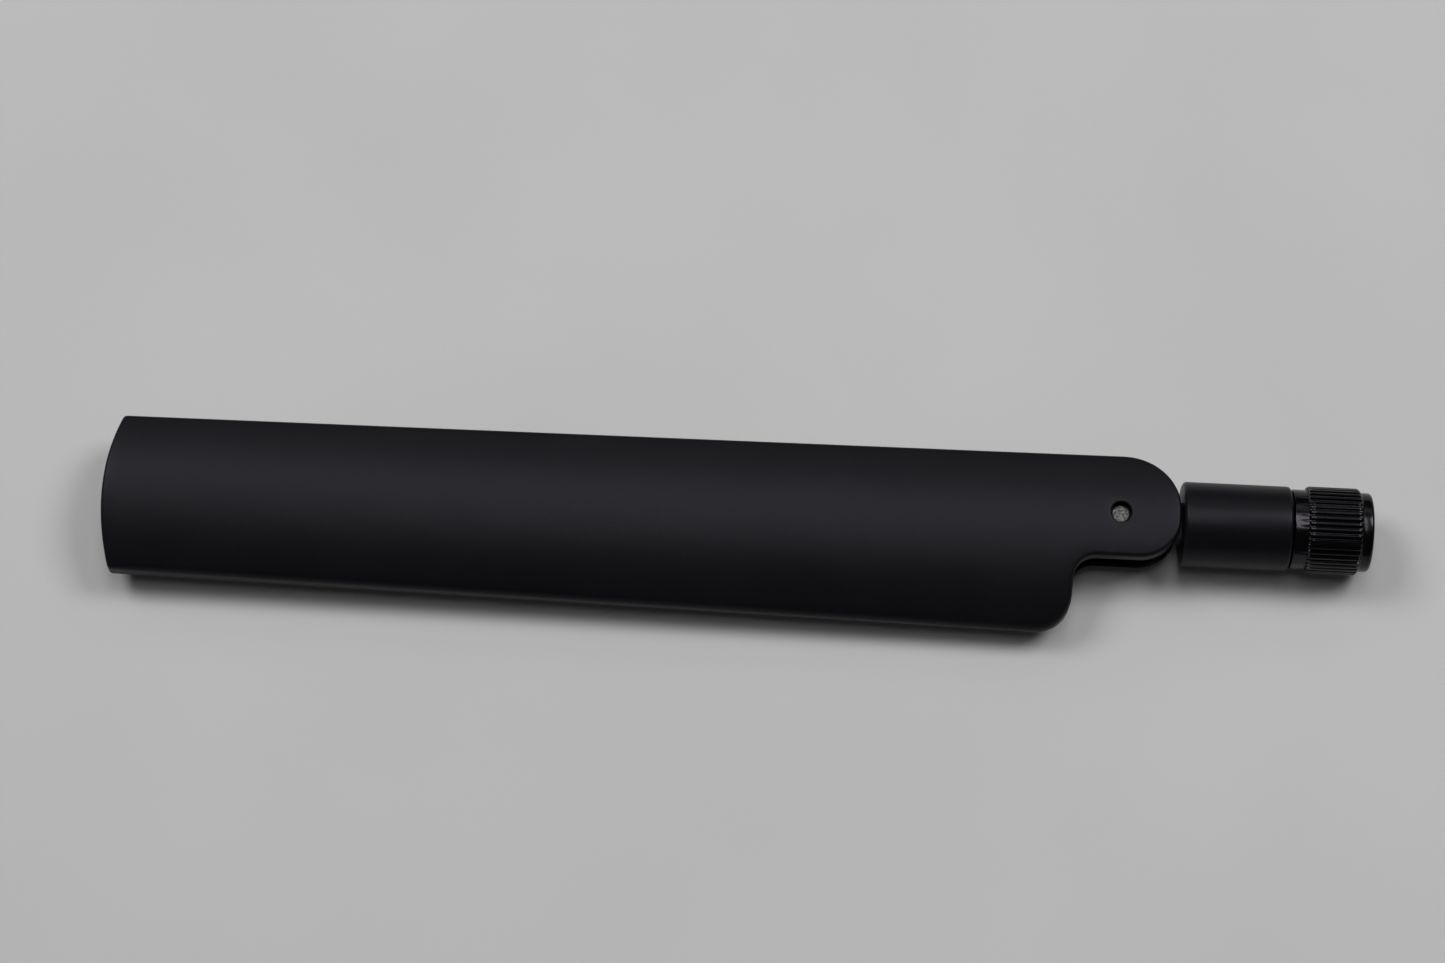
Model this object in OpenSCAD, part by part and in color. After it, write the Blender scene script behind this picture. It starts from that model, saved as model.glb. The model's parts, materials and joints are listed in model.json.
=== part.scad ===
// Fold-and-swivel blade antenna with a threaded coaxial plug.
// Frame: the origin is the centre of the plug's reference plane, on the connector axis.
// +X runs out of the coupling nut's mouth, +Z out of the blade's arched front face.
// The blade lies on its flat back, level with the lowest line of the coupling nut.

/* [Blade] */
// Distance from the hinge pin to the middle of the blade's tip
blade_len = 127.7; // [110:0.1:180]
// Width of the blade at its tip
tip_w = 19.5; // [18:0.1:21]
// Width of the blade at its root, beside the hinge
root_w = 22.4; // [22:0.1:23]
// Offset of the tip's middle from the connector axis
tip_mid_y = -2.85; // [-3.3:0.05:-2.4]
// Offset of the root's middle from the connector axis
root_mid_y = -3.4; // [-3.6:0.05:-3.3]
// Height of the front face's crest above the connector axis
crest_z = 4.05; // [3.9:0.05:5]
// Radius of the front face's arch, which is centred on the connector axis
arch_r = 25; // [24:1:60]
// Radius of the curved tip
tip_r = 32; // [20:1:60]
// Offset of the tip curve's centre from the connector axis
tip_arc_y = -3.9; // [-4.5:0.1:-2]
// Radius of the tip's two corners
tip_corner_r = 0.6; // [0.3:0.1:2]
// Width of the bevel round the back face
back_bevel = 2.2; // [1:0.1:2.4]
// Radius between the bevel and the back face
back_edge_r = 1.0; // [0.3:0.1:1.5]
// Wall thickness of both shells
wall = 1.6; // [1.4:0.1:1.8]

/* [Hinge] */
// Distance from the pin to the end of the ears
ear_x = 7.6; // [7.2:0.05:7.7]
// Distance from the connector axis to the ears' near edge
ear_y = 5.6; // [5.2:0.1:6]
// Distance from the pin to the shoulder that the barrel folds against
shoulder_x = 5.75; // [5.65:0.05:6.5]
// Radius of the shoulder's outer corner
shoulder_r = 4.4; // [2:0.1:6]
// Radius of the inner corner between the shoulder and the ears
notch_r = 2.9; // [1.5:0.1:3]
// Radius of the ears' corner on the folding side
near_corner_r = 5.2; // [4:0.1:5.4]
// Radius of the ears' corner on the far side
far_corner_r = 7.2; // [6:0.1:7.2]
// Height of the slot between the ears
slot_h = 3.6; // [3.5:0.1:3.9]
// Radius of the hinge pin
pin_r = 1.15; // [1:0.05:1.2]
// Depth of the pin's upper end below the front face
pin_recess = 1.0; // [0.6:0.1:1.2]
// Width of the tongue's neck
neck_w = 4.8; // [4.4:0.1:5]
// Radius of the tongue's eye
eye_r = 4.2; // [3.8:0.1:4.4]

/* [Barrel] */
// Length of the barrel without its tongue
barrel_len = 13.6; // [13:0.1:18]
// Radius of the barrel
barrel_r = 5.35; // [5:0.05:5.35]
// Rounding of the barrel's two ends
barrel_edge_r = 0.5; // [0.2:0.1:0.8]

/* [Coupling nut] */
// Length of the nut
nut_len = 10; // [9.8:0.1:11]
// Radius over the knurl
knurl_r = 5.5; // [5.4:0.05:6]
// Number of knurl grooves
knurl_count = 44; // [30:1:60]
// Radius of the smooth collar at the mouth
collar_r = 5.0; // [4.6:0.05:5.2]
// Radius of the neck next to the barrel
nut_neck_r = 5.05; // [4.6:0.05:5.2]
// Distance from the reference plane to the nut's mouth
mouth_x = 2.6; // [2.6:0.05:3]

/* [Hidden] */
$fn = 64;

// Colours
charcoal = [0.075, 0.075, 0.085];
black_nickel = [0.16, 0.145, 0.16];
steel = [0.55, 0.55, 0.56];
brass = [0.78, 0.62, 0.30];
copper = [0.80, 0.45, 0.25];
solder = [0.72, 0.73, 0.75];
board_green = [0.10, 0.28, 0.16];
foam_grey = [0.32, 0.32, 0.34];
coax_black = [0.06, 0.06, 0.06];
ptfe_white = [0.93, 0.93, 0.90];
silicone_red = [0.65, 0.22, 0.15];
rubber_black = [0.05, 0.05, 0.05];

// Gaps
run_gap = 0.05;      // radial clearance of every running fit
face_gap = 0.02;     // clearance between faces that rub
barrel_gap = 0.15;   // between the barrel and the nut
turn_gap = 0.3;      // between the ears and the barrel
eye_gap = 0.55;      // between the tongue's eye and the slot's round wall
stop_gap = 0.05;     // between the tongue's neck and the slot's stops
lead_gap = 0.1;      // round the lead where it leaves the blade's cavity
pin_hole_gap = 0.175; // round the pin's sunk end

// Places along the connector axis
nut_rear_x = mouth_x - nut_len;
barrel_front_x = nut_rear_x - barrel_gap;
barrel_rear_x = barrel_front_x - barrel_len;
pivot_x = barrel_rear_x - ear_x - turn_gap;

// Heights: the back face is level with the lowest line of the nut
floor_t = wall - 0.2;
back_z = -knurl_r;
seam_z = -slot_h / 2;
floor_z = back_z + floor_t;

// Blade, measured from the pin
far_root_y = root_mid_y + root_w / 2;
far_tip_y = tip_mid_y + tip_w / 2;
near_root_y = root_mid_y - root_w / 2;
near_tip_y = tip_mid_y - tip_w / 2;
tip_centre_x = tip_r - blade_len;
cavity_end_x = -9.5;
lip_w = 0.75;
lip_h = 1.0;
bevel_h = seam_z - back_z;
bevel_angle = atan(back_bevel / bevel_h);
bevel_end_d = back_bevel + back_edge_r * (norm([back_bevel, bevel_h]) - back_bevel) / bevel_h;
room_d = wall + back_bevel;
arc_steps = 10;

// Hinge, measured from the pin
washer_t = 0.35;
washer_r = 3.6;
tongue_h = slot_h - 2 * washer_t - 2 * face_gap;
slot_r = eye_r + eye_gap;
side_slot_depth = 2.2; // of the slot's stretch beside the shoulder, from the ears' near edge
pin_bottom_z = floor_z;
pin_top_z = crest_z - pin_recess;
pin_hole_r = pin_r + pin_hole_gap;
lead_slot_h = 1.5;

// Radiator board, measured from the pin
board_mid_y = (tip_mid_y + root_mid_y) / 2;
board_x0 = 5.7 - blade_len;
board_x1 = -16;
board_w = 13;
board_t = 0.8;
foil_t = 0.1;
foil_top_z = -0.57;
board_top_z = foil_top_z - foil_t;
board_low_z = board_top_z - board_t;
feed_x = (board_x0 + board_x1) / 2 + 3;
rib_t = 1.0;
rib_count = 5;
rib_x0 = board_x0 + 10;
rib_step = (board_x1 - 8 - rib_x0) / (rib_count - 1);
peg_x = [board_x0 + 21, board_x1 - 11];
peg_r = 0.9;
peg_inset = 1.6;       // from the board's far edge
peg_hole_gap = 0.1;
foam_y0 = -1.4;
foam_y1 = 2.4;
foam_top_z = crest_z - wall - 0.5;

// Copper foil: distances along the board from the feed, and half widths across it
arm_x = 1;             // where each arm begins
arm_half_w = 2.2;      // of the upper arm's stem, and of the lead's lane in the lower arm
sleeve_x0 = 4;         // where the wider stretch of an arm begins
sleeve_x1 = 24;        // where the upper arm's wider stretch ends
sleeve_half_w = 4.4;
bar_half_w = 5.4;      // of the lower arm's cross bar
foil_lap = 0.1;        // overlap of neighbouring strips
upper_end_x = board_x0 + 2;
lower_end_x = board_x1 - 14;

// Coaxial lead
coax_r = 0.565;
core_r = 0.2;
inner_r = 0.34;
lead_y = -2.4;
bend_x = 6.0;        // length of the S-bend that brings the lead onto the connector axis
bend_angle = 2 * atan(-lead_y / bend_x);
bend_r = bend_x / 2 / sin(bend_angle);
lead_end_x = -4.6;   // where the blade's straight stretch ends, measured from the pin
lead_bore_r = 0.7;   // bore for the lead
inner_room_r = 2.6;  // room in the barrel for the crimped end of the lead
inner_room_x = -19;

// Connector, measured from the reference plane
front_r = 2.65;
tail_r = 3.2;
tail_x = nut_rear_x - 0.1;
tail_rear_x = -15;
stem_rear_x = -18;
stem_r = 1.25;
stem_bore_r = 0.6;
insulator_r = 2.05;
insulator_len = 8;
contact_r = 0.64;
socket_r = 0.47;
socket_depth = 2.8;
contact_rear_x = -8.8;
pocket_rear_x = -9.5;
pocket_r = 1.2;
nut_ring_x = -4.1;
swivel_ring_x = -14.4;
ring_groove_w = 0.6;
o_ring_x = -9.6;
o_ring_wire_r = 0.45;
ferrule_bore_r = 1.45;
ferrule_r = 1.9;

// Outside of the coupling nut
knurl_x0 = nut_rear_x + 2.1;
knurl_x1 = 0.65;
knurl_edge_r = 0.6;
mouth_edge_r = 0.45;
groove_r = 0.26;

// Thread in the nut: 36 turns an inch on a 6.35 mm major diameter
thread_minor_r = 2.83;
thread_major_r = 3.13;
thread_pitch = 25.4 / 36;
crest_w = 0.27;
thread_len = 2.3;
relief_r = 3.3;
relief_x = -3.0;

// Points of an arc, from angle a0 to angle a1
function arc(x, y, r, a0, a1, n = arc_steps) =
    [for (i = [0 : n]) [x + r * cos(a0 + (a1 - a0) * i / n), y + r * sin(a0 + (a1 - a0) * i / n)]];

// Centre and radius of one rounded corner of the tip, for an outline moved in by d
function tip_corner(edge_y, side, d) =
    let (r = max(tip_corner_r - d, 0.05),
         y = edge_y - side * (d + r),
         x = tip_centre_x - sqrt(pow(tip_r - d - r, 2) - pow(y - tip_arc_y, 2)))
    [x, y, r];

// Angle, seen from the tip arc's centre, of a tip corner's own centre
function tip_angle(c) = (atan2(c[1] - tip_arc_y, c[0] - tip_centre_x) + 360) % 360;

// Outline of the blade and its ears, moved in by d, anticlockwise from the far side
function blade_outline(d = 0) =
    let (far = tip_corner(far_tip_y, 1, d), near = tip_corner(near_tip_y, -1, d),
         a_far = tip_angle(far), a_near = tip_angle(near))
    concat(
        arc(far[0], far[1], far[2], 90, a_far, 4),
        arc(tip_centre_x, tip_arc_y, tip_r - d, a_far, a_near, 16),
        arc(near[0], near[1], near[2], a_near, 270, 4),
        arc(-shoulder_x - shoulder_r, near_root_y + shoulder_r, shoulder_r - d, 270, 360),
        arc(-shoulder_x + notch_r, -ear_y - notch_r, notch_r + d, 180, 90),
        arc(ear_x - near_corner_r, -ear_y + near_corner_r, near_corner_r - d, 270, 360),
        arc(ear_x - far_corner_r, far_root_y - far_corner_r, far_corner_r - d, 0, 90)
    );

// Solid through a stack of outlines; each ring is [inset, height], lowest first
module loft(rings) {
    n = len(blade_outline(0));
    points = [for (k = rings) for (p = blade_outline(k[0])) [p[0], p[1], k[1]]];
    sides = [for (k = [0 : len(rings) - 2]) for (i = [0 : n - 1])
        let (j = (i + 1) % n, a = k * n, b = (k + 1) * n)
        each [[a + i, b + i, b + j], [a + i, b + j, a + j]]];
    polyhedron(
        points,
        concat([[for (i = [0 : n - 1]) i]],
               [[for (i = [n - 1 : -1 : 0]) (len(rings) - 1) * n + i]], sides),
        convexity = 6);
}

// Prism of the blade's outline, moved in by d
module blade_prism(d, z0, z1) {
    translate([0, 0, z0])
        linear_extrude(z1 - z0)
            polygon(blade_outline(d));
}

// Box between two corners
module block(low, high) {
    translate(low)
        cube(high - low);
}

// Everything below the front face's arch, moved in by d
module under_arch(d = 0) {
    translate([-blade_len - 5, 0, crest_z - arch_r])
        rotate([0, 90, 0])
            cylinder(r = arch_r - d, h = blade_len + 20, $fn = 360);
}

// Disc or ring on the pin's axis
module disc(r, z0, z1, bore = 0) {
    translate([0, 0, z0])
        difference() {
            cylinder(r = r, h = z1 - z0);
            if (bore > 0)
                translate([0, 0, -1])
                    cylinder(r = bore, h = z1 - z0 + 2);
        }
}

// Rod along X between two places
module rod(r, x0, x1, y = 0, z = 0) {
    translate([x0, y, z])
        rotate([0, 90, 0])
            cylinder(r = r, h = x1 - x0);
}

// Body turned about the connector axis from points [radius, x]
module turned(profile) {
    rotate([0, 90, 0])
        rotate_extrude()
            polygon(profile);
}

// Split ring for a groove, open over 40 degrees
module split_ring(r_in, r_out, x0, x1) {
    difference() {
        turned([[r_in, x0], [r_out, x0], [r_out, x1], [r_in, x1]]);
        translate([x0 - 1, 0, 0])
            rotate([90, 0, 90])
                linear_extrude(x1 - x0 + 2)
                    polygon([[0, 0], [6 * cos(70), 6 * sin(70)], [0, 7], [-6 * cos(70), 6 * sin(70)]]);
    }
}

// Slot between the ears, open along their near edge up to the shoulder
module hinge_slot() {
    disc(slot_r, -slot_h / 2, slot_h / 2);
    block([-neck_w / 2 - stop_gap, -ear_y - 10, -slot_h / 2],
          [ear_x + 5, neck_w / 2 + stop_gap, slot_h / 2]);
    block([-shoulder_x, -ear_y - 10, -slot_h / 2],
          [0, side_slot_depth - ear_y, slot_h / 2]);
}

// Arched front cover with the upper ear
module front_shell() {
    color(charcoal)
        translate([pivot_x, 0, 0])
            difference() {
                intersection() {
                    blade_prism(0, seam_z, crest_z + 1);
                    under_arch();
                }
                intersection() {
                    blade_prism(wall, seam_z - 1, crest_z);
                    under_arch(wall);
                    block([-200, -50, -50], [cavity_end_x, 50, 50]);
                }
                intersection() {
                    blade_prism(lip_w, seam_z - 1, seam_z + lip_h + run_gap);
                    block([-200, -50, -50], [cavity_end_x, 50, 50]);
                }
                hinge_slot();
                disc(pin_r, 0, crest_z + 1);
                disc(pin_hole_r, pin_top_z, crest_z + 1);
                rod(coax_r + lead_gap, cavity_end_x - 1, -3, lead_y);
            }
}

// Bevelled back cover with the lower ear, the board's ribs and pegs
module rear_shell() {
    edge = [for (i = [0 : 4]) let (a = (90 - bevel_angle) * i / 4)
        [bevel_end_d - back_edge_r * sin(a), back_z + back_edge_r * (1 - cos(a))]];
    color(charcoal)
        translate([pivot_x, 0, 0])
            difference() {
                union() {
                    difference() {
                        loft(concat(edge, [[0, seam_z]]));
                        intersection() {
                            blade_prism(room_d, floor_z, seam_z + 1);
                            block([-200, -50, -50], [cavity_end_x, 50, 50]);
                        }
                    }
                    intersection() {
                        difference() {
                            blade_prism(lip_w + run_gap, seam_z - 0.5, seam_z + lip_h);
                            blade_prism(wall, seam_z - 1, seam_z + lip_h + 1);
                        }
                        block([-200, -50, -50], [cavity_end_x - 0.1, 50, 50]);
                    }
                    for (i = [0 : rib_count - 1])
                        board_rib(rib_x0 + i * rib_step);
                    for (x = peg_x)
                        board_peg(x);
                }
                disc(pin_r, pin_bottom_z, 0);
            }
}

// Cross rib that carries the board
module board_rib(x) {
    block([x - rib_t / 2, near_tip_y + room_d - 0.2, floor_z - 0.1],
          [x + rib_t / 2, far_tip_y - room_d + 0.2, board_low_z]);
}

// Peg that locates the board
module board_peg(x) {
    translate([x, board_mid_y + board_w / 2 - peg_inset, floor_z - 0.1])
        cylinder(r = peg_r, h = foil_top_z - floor_z + 0.6);
}

// Foam block between the board and the front cover
module foam_pad(x0, x1) {
    color(foam_grey)
        translate([pivot_x, 0, 0])
            block([x0, foam_y0, foil_top_z], [x1, foam_y1, foam_top_z]);
}

module tip_foam_pad() {
    foam_pad(board_x0 + 4, board_x0 + 16);
}

module root_foam_pad() {
    foam_pad(feed_x + 8, feed_x + 24);
}

// Glass-fibre board that carries the radiator
module radiator_board() {
    color(board_green)
        translate([pivot_x, 0, 0])
            difference() {
                block([board_x0, board_mid_y - board_w / 2, board_low_z],
                      [board_x1, board_mid_y + board_w / 2, board_top_z]);
                for (x = peg_x)
                    translate([x, board_mid_y + board_w / 2 - peg_inset, board_low_z - 1])
                        cylinder(r = peg_r + peg_hole_gap, h = board_t + 2);
            }
}

// Copper strip on the board, measured from the board's middle line
module foil_strip(x0, x1, y0, y1) {
    block([x0, board_mid_y + y0, board_top_z], [x1, board_mid_y + y1, foil_top_z]);
}

// Radiating arm on the tip side of the feed
module upper_dipole_arm() {
    color(copper)
        translate([pivot_x, 0, 0]) {
            foil_strip(upper_end_x, feed_x - arm_x, -arm_half_w, arm_half_w);
            foil_strip(feed_x - sleeve_x1, feed_x - sleeve_x0, arm_half_w - foil_lap, sleeve_half_w);
            foil_strip(feed_x - sleeve_x1, feed_x - sleeve_x0, -sleeve_half_w, foil_lap - arm_half_w);
        }
}

// Radiating arm on the hinge side, in two strips with the lead between them
module lower_dipole_arm() {
    color(copper)
        translate([pivot_x, 0, 0]) {
            foil_strip(feed_x + arm_x, feed_x + sleeve_x0, -bar_half_w, bar_half_w);
            foil_strip(feed_x + sleeve_x0 - foil_lap, lower_end_x, arm_half_w, sleeve_half_w);
            foil_strip(feed_x + sleeve_x0 - foil_lap, lower_end_x, -bar_half_w, -arm_half_w);
        }
}

// Domed solder joint on the board
module solder_dome(x, r) {
    intersection() {
        translate([x, lead_y, foil_top_z])
            sphere(r = r);
        block([x - 5, lead_y - 5, foil_top_z], [x + 5, lead_y + 5, 5]);
    }
}

// Joint between the lead's core and the upper arm
module core_solder_joint() {
    color(solder)
        translate([pivot_x, 0, 0])
            difference() {
                solder_dome(feed_x - 2, 1);
                rod(core_r, feed_x - 2.6, feed_x + 2, lead_y);
            }
}

// Joint between the lead's braid and the lower arm
module braid_solder_joint() {
    color(solder)
        translate([pivot_x, 0, 0])
            difference() {
                solder_dome(feed_x + 2.6, 1.3);
                rod(coax_r, feed_x + 1, feed_x + 6, lead_y);
                rod(core_r, feed_x - 2, feed_x + 2, lead_y);
            }
}

// Jacketed lead along the board
module blade_coax() {
    color(coax_black)
        translate([pivot_x, 0, 0])
            rod(coax_r, feed_x + 1.6, lead_end_x, lead_y);
}

// Bared core at the feed
module blade_coax_core() {
    color(copper)
        translate([pivot_x, 0, 0])
            rod(core_r, feed_x - 2.6, feed_x + 1.6, lead_y);
}

// Pin pressed into both ears
module hinge_pin() {
    color(steel)
        translate([pivot_x, 0, 0])
            disc(pin_r, pin_bottom_z, pin_top_z);
}

// Washer that gives the hinge its friction
module upper_friction_washer() {
    color(ptfe_white)
        translate([pivot_x, 0, 0])
            disc(washer_r, slot_h / 2 - washer_t, slot_h / 2, pin_r + run_gap);
}

module lower_friction_washer() {
    color(ptfe_white)
        translate([pivot_x, 0, 0])
            disc(washer_r, -slot_h / 2, washer_t - slot_h / 2, pin_r + run_gap);
}

// Side-entry channel that lets the lead pass the pin inside the tongue
module lead_channel() {
    side = eye_r + 1;
    translate([0, 0, -lead_slot_h / 2])
        linear_extrude(lead_slot_h)
            polygon(concat(
                [[-side, -side], [-side, lead_y + lead_bore_r], [0.2, lead_y + lead_bore_r]],
                [[1.2, -1.45], [2, -1.05], [3, -0.25], [4.2, 0.45]],
                [[5.2, lead_bore_r], [bend_x + 0.2, lead_bore_r], [bend_x + 0.2, -side]]));
}

// Round housing whose flat tongue turns on the hinge pin
module barrel() {
    e = barrel_edge_r;
    x0 = barrel_rear_x;
    x1 = barrel_front_x;
    bore_r = tail_r + run_gap;
    groove_x = swivel_ring_x;
    color(charcoal)
        difference() {
            union() {
                turned(concat(
                    [[0, x0]],
                    arc(barrel_r - e, x0 + e, e, -90, 0, 6),
                    arc(barrel_r - e, x1 - e, e, 0, 90, 6),
                    [[0, x1]]));
                translate([pivot_x, 0, 0]) {
                    disc(eye_r, -tongue_h / 2, tongue_h / 2);
                    block([0, -neck_w / 2, -tongue_h / 2],
                          [x0 - pivot_x + 1, neck_w / 2, tongue_h / 2]);
                }
            }
            turned([[0, x1 + 1], [0, inner_room_x], [inner_room_r, inner_room_x],
                    [inner_room_r, tail_rear_x - 0.2],
                    [bore_r, tail_rear_x - 0.2], [bore_r, groove_x],
                    [bore_r + 0.35, groove_x], [bore_r + 0.35, groove_x + ring_groove_w],
                    [bore_r, groove_x + ring_groove_w], [bore_r, x1 + 1]]);
            rod(lead_bore_r, pivot_x + bend_x, inner_room_x + 1);
            translate([pivot_x, 0, 0]) {
                disc(pin_r + run_gap, -5, 5);
                lead_channel();
            }
        }
}

// Stations of the lead's S-bend, each [x, y, heading]
function lead_stations(n = 6) = concat(
    [[lead_end_x, lead_y, 0]],
    [for (i = [0 : n]) let (a = bend_angle * i / n)
        [bend_r * sin(a), lead_y + bend_r * (1 - cos(a)), a]],
    [for (i = [n - 1 : -1 : 0]) let (a = bend_angle * i / n)
        [bend_x - bend_r * sin(a), bend_r * (cos(a) - 1), a]],
    [[bend_x + 1, 0, 0]]);

// Tube along stations in the XY plane
module flat_tube(stations, r, sides = 16) {
    last = len(stations) - 1;
    points = [for (s = stations) for (i = [0 : sides - 1]) let (a = 360 * i / sides)
        [s[0] - r * cos(a) * sin(s[2]), s[1] + r * cos(a) * cos(s[2]), r * sin(a)]];
    walls = [for (k = [0 : last - 1]) for (i = [0 : sides - 1])
        let (j = (i + 1) % sides, a = k * sides, b = a + sides)
        each [[a + i, b + i, b + j], [a + i, b + j, a + j]]];
    polyhedron(
        points,
        concat([[for (i = [0 : sides - 1]) i]],
               [[for (i = [sides - 1 : -1 : 0]) last * sides + i]], walls),
        convexity = 4);
}

// Flexible stretch of the lead beside the pin
module hinge_coax() {
    color(coax_black)
        translate([pivot_x, 0, 0])
            flat_tube(lead_stations(), coax_r);
}

// Turned connector body that swivels in the barrel
module connector_body() {
    groove = ring_groove_w;
    color(black_nickel)
        turned([
            [insulator_r, 0], [front_r, 0],
            [front_r, nut_ring_x + groove], [front_r - 0.4, nut_ring_x + groove],
            [front_r - 0.4, nut_ring_x], [front_r, nut_ring_x],
            [front_r, tail_x], [tail_r, tail_x],
            [tail_r, o_ring_x + groove], [tail_r - 0.92, o_ring_x + groove],
            [tail_r - 0.92, o_ring_x - groove], [tail_r, o_ring_x - groove],
            [tail_r, swivel_ring_x + groove], [tail_r - 0.5, swivel_ring_x + groove],
            [tail_r - 0.5, swivel_ring_x], [tail_r, swivel_ring_x],
            [tail_r, tail_rear_x], [stem_r, tail_rear_x],
            [stem_r, stem_rear_x], [stem_bore_r, stem_rear_x],
            [stem_bore_r, pocket_rear_x], [pocket_r, pocket_rear_x],
            [pocket_r, -insulator_len], [insulator_r, -insulator_len]
        ]);
}

// Rubber ring that gives the swivel its friction
module swivel_o_ring() {
    color(rubber_black)
        rotate([0, 90, 0])
            translate([0, 0, o_ring_x])
                rotate_extrude()
                    translate([tail_r - 0.47, 0])
                        circle(r = o_ring_wire_r, $fn = 32);
}

// Ring that keeps the connector in the barrel
module swivel_snap_ring() {
    color(steel)
        split_ring(tail_r - 0.45, tail_r + 0.3, swivel_ring_x + run_gap,
                   swivel_ring_x + ring_groove_w - run_gap);
}

// Sleeve crimped over the lead's braid
module crimp_ferrule() {
    color(brass)
        turned([[ferrule_bore_r, stem_rear_x - 0.4], [ferrule_r, stem_rear_x - 0.4],
                [ferrule_r, tail_rear_x - 0.1], [ferrule_bore_r, tail_rear_x - 0.1]]);
}

// Lead inside the barrel, its braid opened over the connector's stem
module tail_coax() {
    x0 = pivot_x + bend_x + 1;
    flare_x = stem_rear_x - 0.5;
    color(coax_black)
        turned([[inner_r, x0], [coax_r, x0], [coax_r, flare_x - 0.3],
                [ferrule_bore_r - 0.01, flare_x + 0.1], [ferrule_bore_r - 0.01, tail_rear_x - 0.1],
                [stem_r + 0.01, tail_rear_x - 0.1], [stem_r + 0.01, stem_rear_x - 0.02],
                [inner_r, stem_rear_x - 0.02]]);
}

// Inner insulation and core of the lead, up to the contact
module tail_coax_core() {
    color(ptfe_white)
        rod(inner_r, pivot_x + bend_x + 1, contact_rear_x);
}

// Insulator that holds the contact
module contact_insulator() {
    color(ptfe_white)
        turned([[contact_r, -insulator_len], [insulator_r, -insulator_len],
                [insulator_r, 0], [contact_r, 0]]);
}

// Socket contact, flush with the reference plane
module centre_contact() {
    color(brass)
        turned([[0, contact_rear_x], [contact_r, contact_rear_x], [contact_r, -0.05],
                [socket_r, -0.05], [socket_r, -socket_depth], [0, -socket_depth]]);
}

// Soft ring that seals the joint behind the thread
module mating_gasket() {
    color(silicone_red)
        turned([[front_r + 0.02, -1.1], [relief_r - 0.1, -1.1],
                [relief_r - 0.1, -0.1], [front_r + 0.02, -0.1]]);
}

// Inside of the nut's thread, from the reference plane to the mouth
function thread_points() =
    let (slope = (thread_major_r - thread_minor_r) * tan(30))
    [for (k = [0 : 2]) each [
        [thread_minor_r, k * thread_pitch], [thread_minor_r, k * thread_pitch + crest_w],
        [thread_major_r, k * thread_pitch + crest_w + slope],
        [thread_major_r, (k + 1) * thread_pitch - slope]]];

// Knurled nut that screws onto the mating jack
module coupling_nut() {
    x0 = nut_rear_x;
    ring_x = nut_ring_x;
    bore_r = front_r + run_gap;
    color(black_nickel)
        difference() {
            turned(concat(
                arc(nut_neck_r - 0.2, x0 + 0.2, 0.2, -90, 0, 4),
                [[nut_neck_r, knurl_x0 - 0.3], [knurl_r, knurl_x0], [knurl_r, knurl_x1]],
                arc(knurl_r - knurl_edge_r, knurl_x1, knurl_edge_r, 10, 60, 4),
                [[collar_r, knurl_x1 + knurl_edge_r]],
                arc(collar_r - mouth_edge_r, mouth_x - mouth_edge_r, mouth_edge_r, 0, 90, 5),
                [[thread_major_r + 0.1, mouth_x], [thread_minor_r, thread_len],
                 [thread_minor_r, 3 * thread_pitch]],
                [for (i = [len(thread_points()) - 1 : -1 : 0]) thread_points()[i]],
                [[relief_r, 0], [relief_r, relief_x],
                 [bore_r, relief_x], [bore_r, ring_x + ring_groove_w],
                 [bore_r + 0.35, ring_x + ring_groove_w], [bore_r + 0.35, ring_x],
                 [bore_r, ring_x], [bore_r, x0]]));
            for (i = [0 : knurl_count - 1])
                rotate([i * 360 / knurl_count, 0, 0])
                    rod(groove_r, knurl_x0 - 0.35, knurl_x1 + 0.45, 0, knurl_r + 0.05);
        }
}

// Ring that keeps the nut on the connector body and lets it spin
module nut_snap_ring() {
    color(steel)
        split_ring(front_r - 0.35, front_r + run_gap + 0.3, nut_ring_x + run_gap,
                   nut_ring_x + ring_groove_w - run_gap);
}

front_shell();
rear_shell();
tip_foam_pad();
root_foam_pad();
radiator_board();
upper_dipole_arm();
lower_dipole_arm();
core_solder_joint();
braid_solder_joint();
blade_coax();
blade_coax_core();
hinge_pin();
upper_friction_washer();
lower_friction_washer();
barrel();
hinge_coax();
connector_body();
swivel_o_ring();
swivel_snap_ring();
crimp_ferrule();
tail_coax();
tail_coax_core();
contact_insulator();
centre_contact();
mating_gasket();
coupling_nut();
nut_snap_ring();
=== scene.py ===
"""Looks of the fold-and-swivel blade antenna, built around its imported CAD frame.

Lengths are in millimetres in the row frame until a mesh is made, which turns them into metres.
The row frame's origin is on the connector axis at the plug's reference plane, and the blade runs along -X.
"""
import json
from math import asin, atan2, cos, degrees, hypot, pi, radians, sin, sqrt

import bmesh
import bpy
import numpy as np
from mathutils import Matrix, Vector
from mathutils.geometry import delaunay_2d_cdt


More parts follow.
